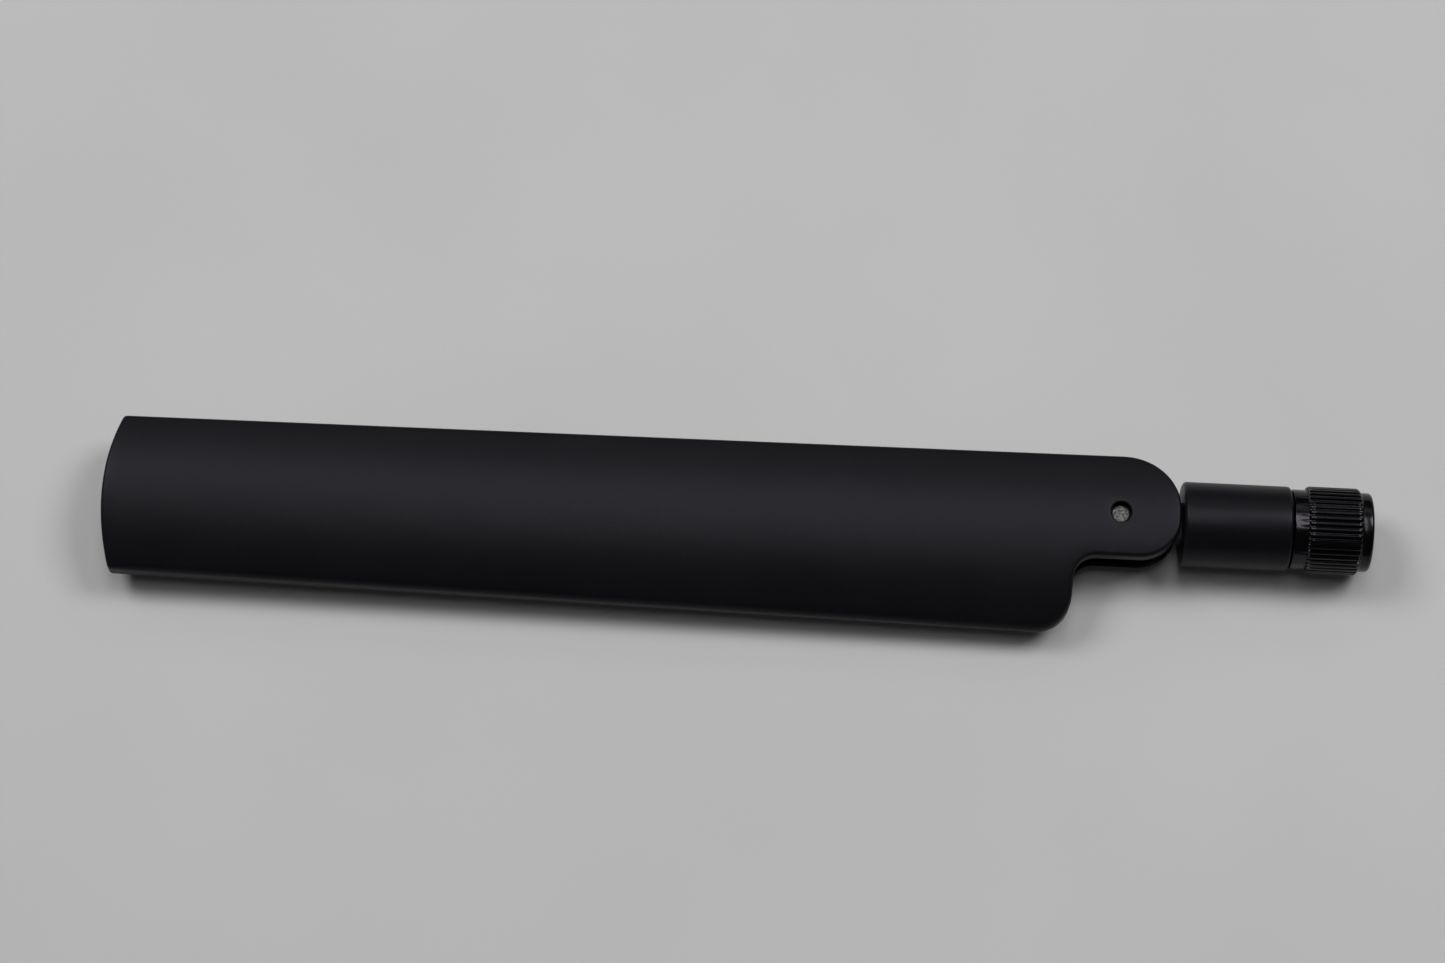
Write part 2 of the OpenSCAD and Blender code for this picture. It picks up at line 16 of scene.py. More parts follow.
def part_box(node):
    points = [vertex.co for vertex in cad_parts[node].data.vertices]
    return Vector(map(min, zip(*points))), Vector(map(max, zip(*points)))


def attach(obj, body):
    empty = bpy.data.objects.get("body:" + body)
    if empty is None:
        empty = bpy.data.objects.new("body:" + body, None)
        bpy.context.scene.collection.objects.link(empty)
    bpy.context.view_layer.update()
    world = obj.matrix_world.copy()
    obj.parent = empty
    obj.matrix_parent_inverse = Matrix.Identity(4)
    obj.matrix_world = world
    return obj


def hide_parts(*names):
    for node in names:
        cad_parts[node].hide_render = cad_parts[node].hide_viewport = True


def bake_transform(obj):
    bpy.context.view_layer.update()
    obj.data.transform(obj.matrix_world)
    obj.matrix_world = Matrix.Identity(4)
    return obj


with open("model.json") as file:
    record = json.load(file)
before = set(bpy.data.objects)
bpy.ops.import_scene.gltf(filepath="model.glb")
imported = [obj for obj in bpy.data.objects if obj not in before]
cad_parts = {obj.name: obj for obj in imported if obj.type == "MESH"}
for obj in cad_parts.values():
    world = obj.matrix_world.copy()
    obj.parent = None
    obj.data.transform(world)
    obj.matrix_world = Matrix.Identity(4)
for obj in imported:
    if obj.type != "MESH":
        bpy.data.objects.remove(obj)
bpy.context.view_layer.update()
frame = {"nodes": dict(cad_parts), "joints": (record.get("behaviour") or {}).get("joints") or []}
for packed in bpy.data.materials:
    packed.name = "packed_" + packed.name  # leaves the slots' own names free

MM = 0.001
TAU = 2 * pi


# ---------------------------------------------------------------- places from the frame

def box_mm(node):
    """Lowest and highest corner of a CAD node, in millimetres."""
    low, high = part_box(node)
    return low / MM, high / MM


FRONT_LOW, FRONT_HIGH = box_mm("front_shell")
REAR_LOW, _ = box_mm("rear_shell")
PIN_LOW, PIN_HIGH = box_mm("hinge_pin")
NUT_LOW, NUT_HIGH = box_mm("coupling_nut")
BARREL_LOW, BARREL_HIGH = box_mm("barrel")
LEAD_LOW, LEAD_HIGH = box_mm("hinge_coax")

PIVOT_X = frame["joints"][0]["pos_m"][0] / MM
PIN_R = (PIN_HIGH.x - PIN_LOW.x) / 2
CREST_Z = FRONT_HIGH.z
SEAM_Z = FRONT_LOW.z
BACK_Z = REAR_LOW.z

# Blade outline, measured from the pin
TIP_X = FRONT_LOW.x - PIVOT_X
EAR_X = FRONT_HIGH.x - PIVOT_X
FAR_ROOT_Y = FRONT_HIGH.y
NEAR_ROOT_Y = FRONT_LOW.y
FAR_TIP_Y = 6.9
NEAR_TIP_Y = -12.6
TIP_ARC_Y = -3.9
TIP_R = 32.0
TIP_CORNER_R = 0.6
SHOULDER_X = 5.75
SHOULDER_R = 4.4
EAR_Y = 5.6
NOTCH_R = 2.9
NEAR_CORNER_R = 5.2
FAR_CORNER_R = 7.2
ARCH_R = 25.0
BACK_BEVEL = 2.2
BACK_EDGE_R = 1.0
WALL = 1.6
CAVITY_END_X = -9.5
LIP_W = 0.75
LIP_H = 1.0
FLOOR_Z = BACK_Z + WALL - 0.2
ROOM_D = WALL + BACK_BEVEL
RUN_GAP = 0.05

# Hinge, measured from the pin
SLOT_H = -2 * SEAM_Z
SLOT_R = 4.75
SLOT_EDGE = 2.45
SIDE_SLOT_DEPTH = 2.2
PIN_HOLE_R = PIN_R + 0.175
TONGUE_H = SLOT_H - 0.74
NECK_HALF_W = 2.4
EYE_R = 4.2
LEAD_Y = -2.4
LEAD_R = 0.565
LEAD_BORE_R = 0.7
LEAD_SLOT_H = 1.5
BEND_X = 6.0

# Edge softening on the visible parts
FAR_FILLET = 0.45
NEAR_FILLET = 0.8
SEAM_CHAMFER = 0.1


# ---------------------------------------------------------------- mesh helpers

def make_object(name, verts, faces, sharp_deg=35):
    """Object from millimetre vertices, smooth-shaded with sharp edges above an angle."""
    mesh = bpy.data.meshes.new(name)
    mesh.from_pydata([Vector(v) * MM for v in verts], [], faces)
    mesh.validate()
    obj = bpy.data.objects.new(name, mesh)
    bpy.context.scene.collection.objects.link(obj)
    soften(obj, sharp_deg)
    return obj


def soften(obj, sharp_deg=35):
    """Smooth shading that keeps edges sharper than sharp_deg."""
    obj.data.shade_smooth()
    obj.data.set_sharp_from_angle(angle=radians(sharp_deg))


def combine(target, other, operation):
    """Applies an exact boolean of other to target and removes other."""
    modifier = target.modifiers.new("combine", "BOOLEAN")
    modifier.operation = operation
    modifier.solver = "EXACT"
    modifier.object = other
    graph = bpy.context.evaluated_depsgraph_get()
    mesh = bpy.data.meshes.new_from_object(target.evaluated_get(graph))
    target.modifiers.clear()
    target.data = mesh
    bpy.data.objects.remove(other)
    return target


def cut(target, *others):
    for other in others:
        combine(target, other, "DIFFERENCE")
    return target


def add(target, *others):
    for other in others:
        combine(target, other, "UNION")
    return target


def arc(cx, cy, r, start, end, steps):
    """Points of an arc, angles in degrees."""
    turn = np.radians(np.linspace(start, end, steps + 1))
    return [(cx + r * cos(a), cy + r * sin(a)) for a in turn]


def bridge(a, b, count):
    """Quads between two closed rings of count vertices that start at a and b."""
    return [(a + i, a + (i + 1) % count, b + (i + 1) % count, b + i) for i in range(count)]


def stacked(name, rings, sharp_deg=35):
    """Closed solid through rings of equal length, lowest first, capped at both ends."""
    count = len(rings[0])
    verts = [p for ring in rings for p in ring]
    faces = [tuple(reversed(range(count)))]
    for k in range(len(rings) - 1):
        faces += bridge(k * count, (k + 1) * count, count)
    last = (len(rings) - 1) * count
    faces.append(tuple(range(last, last + count)))
    return make_object(name, verts, faces, sharp_deg)


def prism(name, points, z0, z1):
    return stacked(name, [[(x, y, z0) for x, y in points], [(x, y, z1) for x, y in points]])


def slab(name, low, high):
    (x0, y0, z0), (x1, y1, z1) = low, high
    return prism(name, [(x0, y0), (x1, y0), (x1, y1), (x0, y1)], z0, z1)


def post(name, x, y, r, z0, z1, steps=64):
    return prism(name, arc(x, y, r, 0, 360, steps)[:-1], z0, z1)


def turned(name, profile, steps=96):
    """Closed solid of revolution about the connector axis from a closed profile of (radius, x)."""
    verts, faces = [], []
    for r, x in profile:
        verts += [(x, r * cos(TAU * i / steps), r * sin(TAU * i / steps)) for i in range(steps)]
    rows = len(profile)
    for k in range(rows):
        faces += bridge(k * steps, (k + 1) % rows * steps, steps)
    return tidy_solid(make_object(name, verts, faces))


def tidy_solid(obj, sharp_deg=35):
    """Welds points on the axis, drops empty faces and turns the normals outward."""
    work = bmesh.new()
    work.from_mesh(obj.data)
    bmesh.ops.remove_doubles(work, verts=work.verts, dist=1e-7)
    bmesh.ops.dissolve_degenerate(work, edges=work.edges, dist=1e-8)
    bmesh.ops.recalc_face_normals(work, faces=work.faces)
    work.to_mesh(obj.data)
    work.free()
    soften(obj, sharp_deg)
    return obj


def smooth(low, high, value):
    t = min(max((value - low) / (high - low), 0), 1)
    return t * t * (3 - 2 * t)


# ---------------------------------------------------------------- blade outline

def tip_corner(edge_y, side, d):
    """Centre and radius of one rounded corner of the tip, for an outline moved in by d."""
    r = max(TIP_CORNER_R - d, 0.02)
    y = edge_y - side * (d + r)
    x = TIP_X + TIP_R - sqrt((TIP_R - d - r) ** 2 - (y - TIP_ARC_Y) ** 2)
    return x, y, r


def spread(points, step):
    """Puts extra points on the straight stretches of a closed outline of (x, y, normal x, normal y)."""
    out = []
    for a, b in zip(points, points[1:] + points[:1]):
        parts = max(1, round(hypot(b[0] - a[0], b[1] - a[1]) / step))
        for i in range(parts):
            out.append(tuple(np.array(a) + (np.array(b) - np.array(a)) * i / parts))
    return out


def arc_with_normals(cx, cy, r, start, end, steps, inward=-1):
    """Arc points, each with the unit vector that points into the blade."""
    turn = np.radians(np.linspace(start, end, steps + 1))
    return [(cx + r * cos(a), cy + r * sin(a), inward * cos(a), inward * sin(a)) for a in turn]


def blade_outline(d=0.0, step=None):
    """Outline of the blade and its ears from the far tip corner, anticlockwise, moved in by d."""
    tip_cx = TIP_X + TIP_R
    far, near = tip_corner(FAR_TIP_Y, 1, d), tip_corner(NEAR_TIP_Y, -1, d)
    a_far = degrees(atan2(far[1] - TIP_ARC_Y, far[0] - tip_cx)) % 360
    a_near = degrees(atan2(near[1] - TIP_ARC_Y, near[0] - tip_cx)) % 360
    points = arc_with_normals(*far, 90, a_far, 6)
    points += arc_with_normals(tip_cx, TIP_ARC_Y, TIP_R - d, a_far, a_near, 30)[1:]
    points += arc_with_normals(*near, a_near, 270, 6)[1:]
    for x, y, r, start, end, steps, inward in (
            (-SHOULDER_X - SHOULDER_R, NEAR_ROOT_Y + SHOULDER_R, SHOULDER_R - d, 270, 360, 20, -1),
            (-SHOULDER_X + NOTCH_R, -EAR_Y - NOTCH_R, NOTCH_R + d, 180, 90, 16, 1),
            (EAR_X - NEAR_CORNER_R, -EAR_Y + NEAR_CORNER_R, NEAR_CORNER_R - d, 270, 360, 24, -1),
            (EAR_X - FAR_CORNER_R, FAR_ROOT_Y - FAR_CORNER_R, FAR_CORNER_R - d, 0, 90, 32, -1)):
        points += arc_with_normals(x, y, r, start, end, steps, inward)
    return spread(points, step) if step else points


OUTLINE_STEP = 1.5
OUTLINE = blade_outline(step=OUTLINE_STEP)


def inset(distance):
    """The outline moved in, in the row frame. distance is a number or a function of x and y."""
    ring = []
    for x, y, nx, ny in OUTLINE:
        d = distance(x, y) if callable(distance) else distance
        ring.append((x + nx * d + PIVOT_X, y + ny * d))
    return ring


def cavity_outline(distance, end_x=CAVITY_END_X):
    """The inset outline up to the cavity's end, short of the hinge."""
    end = end_x + PIVOT_X
    ring = [(x + PIVOT_X, y) for x, y, _, _ in blade_outline(distance, OUTLINE_STEP) if x < end_x]
    first = min(range(len(ring)), key=lambda i: (ring[i][1] < 0, -ring[i][0]))
    ring = ring[first:] + ring[:first]
    return [(end, ring[0][1])] + ring + [(end, ring[-1][1])]


def arch_z(y, drop=0.0):
    """Height of the front face's arch, or of a concentric one below it."""
    return CREST_Z - ARCH_R + sqrt((ARCH_R - drop) ** 2 - y * y)


def edge_fillet(x, y):
    """Radius of the front face's edge: small at the far side and tip, large along the near side."""
    near = smooth(-7.5, -11.5, y) * smooth(TIP_X + 1, TIP_X + 6, x)
    return FAR_FILLET + (NEAR_FILLET - FAR_FILLET) * near


def back_edge(steps=8):
    """Inset and height of points round the edge between the back face and its bevel, lowest first."""
    height = SEAM_Z - BACK_Z
    end = BACK_BEVEL + BACK_EDGE_R * (hypot(BACK_BEVEL, height) - BACK_BEVEL) / height
    turn = pi / 2 - atan2(BACK_BEVEL, height)
    return [(end - BACK_EDGE_R * sin(turn * i / steps), BACK_Z + BACK_EDGE_R * (1 - cos(turn * i / steps)))
            for i in range(steps + 1)]


def inside(point, ring):
    """Whether a point lies inside a closed ring."""
    x, y = point
    hit = False
    for (x0, y0), (x1, y1) in zip(ring, ring[1:] + ring[:1]):
        if (y0 > y) != (y1 > y) and x < x0 + (x1 - x0) * (y - y0) / (y1 - y0):
            hit = not hit
    return hit


def clear_of(point, ring, gap):
    return all(hypot(point[0] - x, point[1] - y) > gap for x, y in ring)


def filled(border, holes, step_x, step_y):
    """Triangles inside a border and outside the holes, with a grid of points between them.

    The border's and the holes' points come first in the result, in their own order."""
    points = list(border)
    edges = [(i, (i + 1) % len(border)) for i in range(len(border))]
    for hole in holes:
        start = len(points)
        points += hole
        edges += [(start + i, start + (i + 1) % len(hole)) for i in range(len(hole))]
    xs, ys = [p[0] for p in border], [p[1] for p in border]
    fixed = list(points)
    for x in np.arange(min(xs) + step_x, max(xs), step_x):
        for y in np.arange(min(ys) + step_y, max(ys), step_y):
            p = (float(x), float(y))
            if inside(p, border) and clear_of(p, fixed, 0.6 * step_y) \
                    and not any(inside(p, hole) for hole in holes):
                points.append(p)
    verts, _, faces, _, _, _ = delaunay_2d_cdt([Vector(p) for p in points], edges, [], 1, 1e-5)
    kept = []
    for face in faces:
        middle = sum((verts[i] for i in face), Vector((0, 0))) / len(face)
        if not any(inside(middle, hole) for hole in holes):
            kept.append(tuple(face))
    return [tuple(v) for v in verts], kept


# ---------------------------------------------------------------- materials

def material(name, colour, roughness, metallic=0.0, **sockets):
    """Principled material with its constants set on the shader's own sockets."""
    mat = bpy.data.materials.new(name)
    mat.use_nodes = True
    shader = mat.node_tree.nodes["Principled BSDF"]
    shader.inputs["Base Color"].default_value = (*colour, 1)
    shader.inputs["Roughness"].default_value = roughness
    shader.inputs["Metallic"].default_value = metallic
    for socket, value in sockets.items():
        shader.inputs[socket.replace("_", " ")].default_value = value
    return mat


def node(mat, kind, **values):
    made = mat.node_tree.nodes.new(kind)
    for key, value in values.items():
        if key in made.inputs:
            made.inputs[key].default_value = value
        else:
            setattr(made, key, value)
    return made


def link(mat, source, output, target, socket):
    mat.node_tree.links.new(source.outputs[output], target.inputs[socket])


def noise(mat, size_mm, detail=2.0, rough=0.5, stretch=(1, 1, 1)):
    """Noise in object space whose features are about size_mm across."""
    coords = node(mat, "ShaderNodeTexCoord")
    scaled = node(mat, "ShaderNodeMapping")
    scaled.inputs["Scale"].default_value = stretch
    texture = node(mat, "ShaderNodeTexNoise", Scale=1 / (size_mm * MM), Detail=detail, Roughness=rough)
    link(mat, coords, "Object", scaled, "Vector")
    link(mat, scaled, "Vector", texture, "Vector")
    return texture


def ramp(mat, source, output, stops):
    """Colour ramp over a texture; stops are (position, colour or grey)."""
    made = node(mat, "ShaderNodeValToRGB")
    band = made.color_ramp
    while len(band.elements) < len(stops):
        band.elements.new(0.5)
    for element, (position, value) in zip(band.elements, stops):
        element.position = position
        element.color = (*value, 1) if isinstance(value, tuple) else (value, value, value, 1)
    link(mat, source, output, made, "Fac")
    return made


def bump(mat, source, output, depth_mm, strength=1.0, below=None):
    made = node(mat, "ShaderNodeBump", Strength=strength, Distance=depth_mm * MM)
    link(mat, source, output, made, "Height")
    if below:
        link(mat, below, "Normal", made, "Normal")
    return made


def finish_with(mat, colour=None, roughness=None, normal=None):
    """Connects finished colour, roughness and normal nodes to the shader."""
    shader = mat.node_tree.nodes["Principled BSDF"]
    if colour:
        link(mat, colour, "Color", shader, "Base Color")
    if roughness:
        link(mat, roughness, "Color", shader, "Roughness")
    if normal:
        link(mat, normal, "Normal", shader, "Normal")
    return mat


def moulded_plastic(name, dark, light, rough, grain_mm, grain_depth, gloss=0.5, tint=(1, 1, 1)):
    """Sandblasted moulded plastic: fine grain, faint mottling and a few duller patches."""
    mat = material(name, dark, rough, Specular_IOR_Level=gloss, Specular_Tint=(*tint, 1))
    grain = noise(mat, grain_mm, detail=3.0, rough=0.65)
    mottle = noise(mat, 9.0, detail=3.0)
    tone = ramp(mat, mottle, "Fac", [(0.3, dark), (0.75, light)])
    sheen = ramp(mat, grain, "Fac", [(0.3, rough + 0.07), (0.62, rough - 0.05), (0.8, rough - 0.16)])
    relief = bump(mat, grain, "Fac", grain_depth, 1.0)
    return finish_with(mat, tone, sheen, relief)


def plated_metal(name, dark, light, rough, line_mm=0.05):
    """Plated turned metal: faint turning lines across the axis and soft clouding of the plating."""
    mat = material(name, dark, rough, 1.0)
    lines = noise(mat, line_mm, detail=2.0, stretch=(1, 0.02, 0.02))
    clouds = noise(mat, 1.4, detail=3.0)
    tone = ramp(mat, clouds, "Fac", [(0.3, dark), (0.7, light)])
    shine = ramp(mat, clouds, "Fac", [(0.25, rough + 0.03), (0.75, rough - 0.03)])
    relief = bump(mat, lines, "Fac", 0.0006, 0.15)
    return finish_with(mat, tone, shine, relief)


def cropped_steel(name):
    """Rough grey end of a cropped pin, pitted and unevenly bright."""
    mat = material(name, (0.2, 0.2, 0.2), 0.5, 0.85)
    pits = noise(mat, 0.28, detail=4.0, rough=0.6)
    tone = ramp(mat, pits, "Fac", [(0.32, (0.04, 0.04, 0.042)), (0.55, (0.12, 0.12, 0.122)),
                                   (0.75, (0.22, 0.22, 0.215))])
    shine = ramp(mat, pits, "Fac", [(0.3, 0.7), (0.7, 0.42)])
    return finish_with(mat, tone, shine, bump(mat, pits, "Fac", 0.05, 0.8))


def soft_rubber(name, dark, light, rough, grain_mm=0.25):
    """Rubber, silicone or foam with a fine grain and a dusty bloom."""
    mat = material(name, dark, rough)
    grain = noise(mat, grain_mm, detail=3.0)
    bloom = noise(mat, 1.6, detail=2.0)
    tone = ramp(mat, bloom, "Fac", [(0.3, dark), (0.75, light)])
    shine = ramp(mat, grain, "Fac", [(0.3, rough + 0.06), (0.7, rough - 0.06)])
    return finish_with(mat, tone, shine, bump(mat, grain, "Fac", 0.012, 0.7))


def laminate(name):
    """Solder-masked board with the cloth weave just showing through."""
    mat = material(name, (0.02, 0.09, 0.045), 0.3)
    coords = node(mat, "ShaderNodeTexCoord")
    weave = node(mat, "ShaderNodeTexBrick", Scale=1 / (1.2 * MM))
    link(mat, coords, "Object", weave, "Vector")
    clouds = noise(mat, 2.5)
    tone = ramp(mat, clouds, "Fac", [(0.3, (0.015, 0.075, 0.035)), (0.7, (0.03, 0.12, 0.06))])
    shine = ramp(mat, clouds, "Fac", [(0.3, 0.34), (0.7, 0.24)])
    return finish_with(mat, tone, shine, bump(mat, weave, "Fac", 0.006, 0.4))


BLACK_GLOSS = 0.17
BLACK_TINT = (0.88, 0.87, 1)
BLADE = moulded_plastic("blade_plastic", (0.0042, 0.0042, 0.0055), (0.0056, 0.0056, 0.007),
                        0.4, 0.17, 0.012, BLACK_GLOSS, BLACK_TINT)
BARREL = moulded_plastic("barrel_plastic", (0.0042, 0.0042, 0.0055), (0.0054, 0.0054, 0.0068),
                         0.37, 0.12, 0.005, BLACK_GLOSS, BLACK_TINT)
NICKEL = plated_metal("black_nickel", (0.025, 0.0232, 0.0265), (0.0365, 0.034, 0.0385), 0.2)
PIN = cropped_steel("pin_steel")
SPRING = plated_metal("spring_steel", (0.4, 0.4, 0.41), (0.55, 0.55, 0.56), 0.28)
ACETAL = moulded_plastic("washer_acetal", (0.72, 0.72, 0.68), (0.8, 0.8, 0.77), 0.45, 0.12, 0.004)
PTFE = moulded_plastic("ptfe", (0.78, 0.78, 0.74), (0.86, 0.86, 0.83), 0.48, 0.2, 0.005)
GOLD = plated_metal("contact_gold", (0.75, 0.5, 0.2), (0.86, 0.62, 0.28), 0.22)
FERRULE = plated_metal("ferrule_nickel", (0.5, 0.48, 0.43), (0.6, 0.58, 0.53), 0.3)
JACKET = soft_rubber("coax_jacket", (0.012, 0.012, 0.013), (0.022, 0.022, 0.023), 0.42)
COPPER = plated_metal("coax_copper", (0.6, 0.28, 0.15), (0.75, 0.4, 0.24), 0.3)
TRACE = plated_metal("board_copper", (0.62, 0.32, 0.16), (0.75, 0.45, 0.26), 0.34)
SOLDER = plated_metal("solder", (0.5, 0.51, 0.53), (0.68, 0.69, 0.71), 0.27)
LAMINATE = laminate("board_laminate")
FOAM = soft_rubber("foam", (0.05, 0.05, 0.055), (0.09, 0.09, 0.095), 0.9, 0.5)
NITRILE = soft_rubber("o_ring_rubber", (0.012, 0.012, 0.012), (0.022, 0.022, 0.022), 0.5)
SILICONE = soft_rubber("gasket_silicone", (0.22, 0.045, 0.028), (0.3, 0.07, 0.045), 0.5)


def place(obj, name, body, nodes, mat):
    """Names a finished piece, paints it, ties it to its body and hides the CAD nodes it stands for."""
    obj.name = name
    obj.data.materials.clear()
    obj.data.materials.append(mat)
    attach(obj, body)
    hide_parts(*nodes)
    return obj


def paint(cad_node, mat):
    """Gives a CAD node that stays visible its finished material."""
    obj = frame["nodes"][cad_node]
    obj.data.materials.clear()
    obj.data.materials.append(mat)
    return obj


# ---------------------------------------------------------------- blade

def hinge_slot_cutters():
    """The room that the tongue needs between the ears."""
    x = PIVOT_X
    return (post("slot_round", x, 0, SLOT_R, SEAM_Z - 1, -SEAM_Z, 96),
            slab("slot_end", (x - SLOT_EDGE, -EAR_Y - 10, SEAM_Z - 1),
                 (x + EAR_X + 5, SLOT_EDGE, -SEAM_Z)),
            slab("slot_side", (x - SHOULDER_X, -EAR_Y - 10, SEAM_Z - 1),
                 (x, SIDE_SLOT_DEPTH - EAR_Y, -SEAM_Z)))


def front_cover():
    """Arched front cover with soft edges, the upper ear and the pin's counterbore."""
    rings = []
    for step in range(7):
        turn = pi / 2 * step / 6
        ring = inset(lambda x, y: edge_fillet(x, y) * (1 - cos(turn)))
        drops = [edge_fillet(x, y) * (1 - sin(turn)) for x, y, _, _ in OUTLINE]
        rings.append([(x, y, arch_z(y) - drop) for (x, y), drop in zip(ring, drops)])
    outer = inset(0)
    skirt = [[(x, y, SEAM_Z + SEAM_CHAMFER) for x, y in outer]]
    skirt.insert(0, [(x, y, SEAM_Z) for x, y in inset(SEAM_CHAMFER)])

    lip, hole_end_z = 0.16, PIN_HIGH.z - 0.6
    hole_rings = []
    for step in range(5):
        turn = pi / 2 * step / 4
        r = PIN_HOLE_R + lip * (1 - sin(turn))
        drop = lip * (1 - cos(turn))
        hole_rings.append([(x, y, arch_z(y) - drop) for x, y in arc(PIVOT_X, 0, r, 0, 360, 48)[:-1]])
    hole_rings.append([(x, y, hole_end_z) for x, y, _ in hole_rings[-1]])

    border = [(x, y) for x, y, _ in rings[-1]]
    rim = [(x, y) for x, y, _ in hole_rings[0]]
    flat, faces = filled(border, [rim], 1.6, 1.0)
    verts = [(x, y, arch_z(y)) for x, y in flat]
    count = len(border)
    loops = skirt + rings[:-1]
    ids = []
    for loop in loops:
        ids.append(len(verts))
        verts += loop
    ids.append(0)
    for a, b in zip(ids, ids[1:]):
        faces += bridge(a, b, count)
    faces.append(tuple(reversed(range(ids[0], ids[0] + count))))
    rim_count = len(rim)
    previous = count
    for loop in hole_rings[1:]:
        start = len(verts)
        verts += loop
        faces += bridge(previous, start, rim_count)
        previous = start
    faces.append(tuple(range(previous, previous + rim_count)))
    cover = tidy_solid(make_object("front_cover", verts, faces))

    inner = cavity_outline(WALL)
    flat, top = filled(inner, [], 4.0, 1.5)
    size = len(inner)
    verts = [(x, y, arch_z(y, WALL)) for x, y in flat]
    base = len(verts)
    verts += [(x, y, SEAM_Z - 1) for x, y in inner]
    top += bridge(base, 0, size)
    top.append(tuple(reversed(range(base, base + size))))
    hollow = tidy_solid(make_object("hollow", verts, top))
    rebate = prism("rebate", cavity_outline(LIP_W), SEAM_Z - 1, SEAM_Z + LIP_H + RUN_GAP)
    pin_hole = post("pin_hole", PIVOT_X, 0, PIN_R, 0, PIN_HIGH.z + 0.2, 48)
    cut(cover, hollow, rebate, *hinge_slot_cutters(), pin_hole)
    soften(cover, 32)
    return place(cover, "front_cover", "paddle", ["front_shell"], BLADE)


def rear_cover():
    """Bevelled back cover with a rounded back edge, the lower ear, the board's ribs and pegs."""
    levels = back_edge()
    levels.append((BACK_BEVEL * SEAM_CHAMFER / (SEAM_Z - BACK_Z), SEAM_Z - SEAM_CHAMFER))
    levels.append((SEAM_CHAMFER, SEAM_Z))
    rings = [[(x + PIVOT_X, y, z) for x, y, _, _ in blade_outline(d)] for d, z in levels]
    cover = stacked("rear_cover", rings)
    above = SEAM_Z + 5
    lip = prism("lip", cavity_outline(LIP_W + RUN_GAP, CAVITY_END_X - 2 * RUN_GAP),
                SEAM_Z - 0.5, SEAM_Z + LIP_H)
    room = prism("room", cavity_outline(ROOM_D, CAVITY_END_X - RUN_GAP), FLOOR_Z, above)
    lip_room = prism("lip_room", cavity_outline(WALL, CAVITY_END_X - RUN_GAP), SEAM_Z, above)
    add(cover, lip)
    cut(cover, room, lip_room, post("pin_seat", PIVOT_X, 0, PIN_R, PIN_LOW.z, 0, 48))
    board_low, board_high = box_mm("radiator_board")
    rib_t, sunk = 1.0, 0.1
    for x in np.linspace(board_low.x + 10, board_high.x - 8, 5):
        add(cover, slab("rib", (x - rib_t / 2, NEAR_TIP_Y + ROOM_D - 2 * sunk, FLOOR_Z - sunk),
                        (x + rib_t / 2, FAR_TIP_Y - ROOM_D + 2 * sunk, board_low.z)))
    for x in (board_low.x + 21, board_high.x - 11):
        add(cover, post("peg", x, board_high.y - 1.6, 0.9, FLOOR_Z - sunk, board_high.z + 0.7, 32))
    soften(cover, 32)
    return place(cover, "rear_cover", "paddle", ["rear_shell"], BLADE)


def hinge_pin_piece():
    """Steel pin with a chamfered, unevenly cropped upper end."""
    rings = []
    for inset_r, z in ((0.2, PIN_LOW.z), (0, PIN_LOW.z + 0.2),
                       (0, PIN_HIGH.z - 0.18), (0.12, PIN_HIGH.z - 0.03)):
        rings.append([(x, y, z) for x, y in arc(PIVOT_X, 0, PIN_R - inset_r, 0, 360, 48)[:-1]])
    cropping = 0.045
    for share in (0.8, 0.6, 0.4, 0.2, 0.04):
        r = (PIN_R - 0.12) * share
        ring = arc(PIVOT_X, 0, r, 0, 360, 48)[:-1]
        rings.append([
            (x, y, PIN_HIGH.z - 0.05 - cropping * sin(2.1 * x + 3.3 * y) * cos(1.7 * x - 2.9 * y) ** 2)
            for x, y in ring])
    return place(stacked("pin", rings), "hinge_pin_end", "paddle", ["hinge_pin"], PIN)


def foam_pad_piece(cad_node, name):
    """Soft foam pad with rounded corners, sides that swell a little and a crowned top."""
    low, high = box_mm(cad_node)
    rings = []
    for d, z in ((0.45, low.z), (0.2, low.z + 0.15), (0.06, low.z + 0.5), (0, (low.z + high.z) / 2),
                 (0.06, high.z - 0.6), (0.2, high.z - 0.3), (0.5, high.z - 0.12), (0.95, high.z - 0.03),
                 (1.5, high.z)):
        x0, y0, x1, y1 = low.x + d, low.y + d, high.x - d, high.y - d
        r = max(0.9 - 0.5 * d, 0.1)
        ring = []
        for cx, cy, start in ((x1 - r, y1 - r, 0), (x0 + r, y1 - r, 90),
                              (x0 + r, y0 + r, 180), (x1 - r, y0 + r, 270)):
            ring += [(x, y, z) for x, y in arc(cx, cy, r, start, start + 90, 8)]
        rings.append(ring)
    pad = stacked(name, rings, 80)
    place(pad, name, "paddle", [cad_node], FOAM)
    return pad


# ---------------------------------------------------------------- barrel

BARREL_FRONT_X = NUT_LOW.x - 0.15
BARREL_REAR_X = BARREL_FRONT_X - 13.6
BORE_R = 3.25
RING_W = 0.6
RING_DEPTH = 0.35
SWIVEL_RING_X = -14.4
NUT_RING_X = -4.1


def tongue(d):
    """Outline of the tongue's eye and neck, moved in by d, in the row frame."""
    half = NECK_HALF_W - d
    r = EYE_R - d
    start = degrees(asin(half / r))
    end_x = BARREL_REAR_X + 1
    points = [(PIVOT_X + x, y) for x, y in arc(0, 0, r, start, 360 - start, 60)]
    return points + [(end_x, -half), (end_x, half)]


def ring_groove(bore, x):
    """Groove for a split ring in a bore, from its front edge to its rear edge."""
    return [(bore, x + RING_W), (bore + RING_DEPTH, x + RING_W), (bore + RING_DEPTH, x), (bore, x)]


